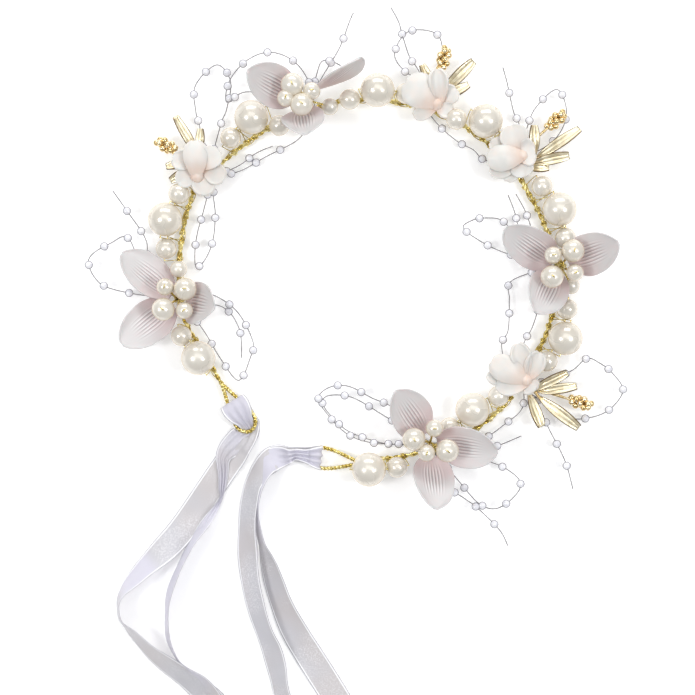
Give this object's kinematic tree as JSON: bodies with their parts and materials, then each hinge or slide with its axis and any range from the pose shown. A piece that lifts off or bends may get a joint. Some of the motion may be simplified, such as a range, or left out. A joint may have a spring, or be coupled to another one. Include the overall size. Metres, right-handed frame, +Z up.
{
  "type": "flower crown",
  "caption": "Open wire flower crown with pearls, frosted orchids, resin flowers, gold sprigs and beaded lines, tied with an organza ribbon at each end",
  "frame": {"origin": "on the table at the middle of the head opening, with the crown lying flat", "axes": "+Z up out of the table through the head opening; +Y towards the crown's front, away from the ribbons; +X to the right of it"},
  "size_m": [0.1917, 0.3154, 0.028],
  "materials": {
    "gold_wire": "bright gold-plated twisted wire",
    "cast_gold": "pale champagne gold, polished casting",
    "pearl": "cream pearl coating with a lustrous sheen",
    "frosted_petal": "frosted translucent petal, satin",
    "ivory_resin": "translucent ivory resin with a blush",
    "beaded_line": "small white pearl beads on clear line",
    "organza": "sheer white organza ribbon"
  },
  "bodies": {
    "crown": {"band_wire": "gold_wire", "lashing_wire": "gold_wire", "pearl_large_1": "pearl", "pearl_large_2": "pearl", "pearl_large_3": "pearl", "pearl_large_4": "pearl", "pearl_large_5": "pearl", "pearl_large_6": "pearl", "pearl_large_7": "pearl", "pearl_large_8": "pearl", "pearl_large_9": "pearl", "pearl_medium_1": "pearl", "pearl_medium_2": "pearl", "pearl_medium_3": "pearl", "pearl_medium_4": "pearl", "pearl_medium_5": "pearl", "pearl_medium_6": "pearl", "pearl_medium_7": "pearl", "pearl_medium_8": "pearl", "pearl_medium_9": "pearl", "pearl_medium_10": "pearl", "pearl_medium_11": "pearl", "pearl_medium_12": "pearl", "pearl_medium_13": "pearl", "pearl_medium_14": "pearl", "pearl_medium_15": "pearl", "pearl_medium_16": "pearl", "orchid_left_petal_1": "frosted_petal", "orchid_left_petal_2": "frosted_petal", "orchid_left_petal_3": "frosted_petal", "orchid_left_pearls": "pearl", "orchid_top_petal_1": "frosted_petal", "orchid_top_petal_2": "frosted_petal", "orchid_top_petal_3": "frosted_petal", "orchid_top_pearls": "pearl", "orchid_right_petal_1": "frosted_petal", "orchid_right_petal_2": "frosted_petal", "orchid_right_petal_3": "frosted_petal", "orchid_right_pearls": "pearl", "orchid_bottom_petal_1": "frosted_petal", "orchid_bottom_petal_2": "frosted_petal", "orchid_bottom_petal_3": "frosted_petal", "orchid_bottom_pearls": "pearl", "resin_flower_1": "ivory_resin", "resin_flower_2": "ivory_resin", "resin_flower_3": "ivory_resin", "resin_flower_4": "ivory_resin", "gold_sprig_1": "cast_gold", "gold_sprig_2": "cast_gold", "gold_sprig_3": "cast_gold", "gold_sprig_4": "cast_gold", "bead_line_left": "beaded_line", "bead_line_upper_left": "beaded_line", "bead_line_top": "beaded_line", "bead_line_upper_right": "beaded_line", "bead_line_right": "beaded_line", "ribbon_left_knot": "organza", "ribbon_right_knot": "organza"},
    "ribbon_left": {"ribbon_left_tails": "organza"},
    "ribbon_right": {"ribbon_right_tails": "organza"}
  },
  "joints": [
    {"name": "ribbon_left_swing", "type": "hinge", "parent": "crown", "child": "ribbon_left", "pos_m": [-0.04119, -0.05467, 0.0022], "axis": [-0.848, -0.5299, 0], "range_deg": [0, 110]},
    {"name": "ribbon_right_swing", "type": "hinge", "parent": "crown", "child": "ribbon_right", "pos_m": [-0.01816, -0.06403, 0.0022], "axis": [-0.9903, 0.1392, 0], "range_deg": [0, 110]}
  ]
}
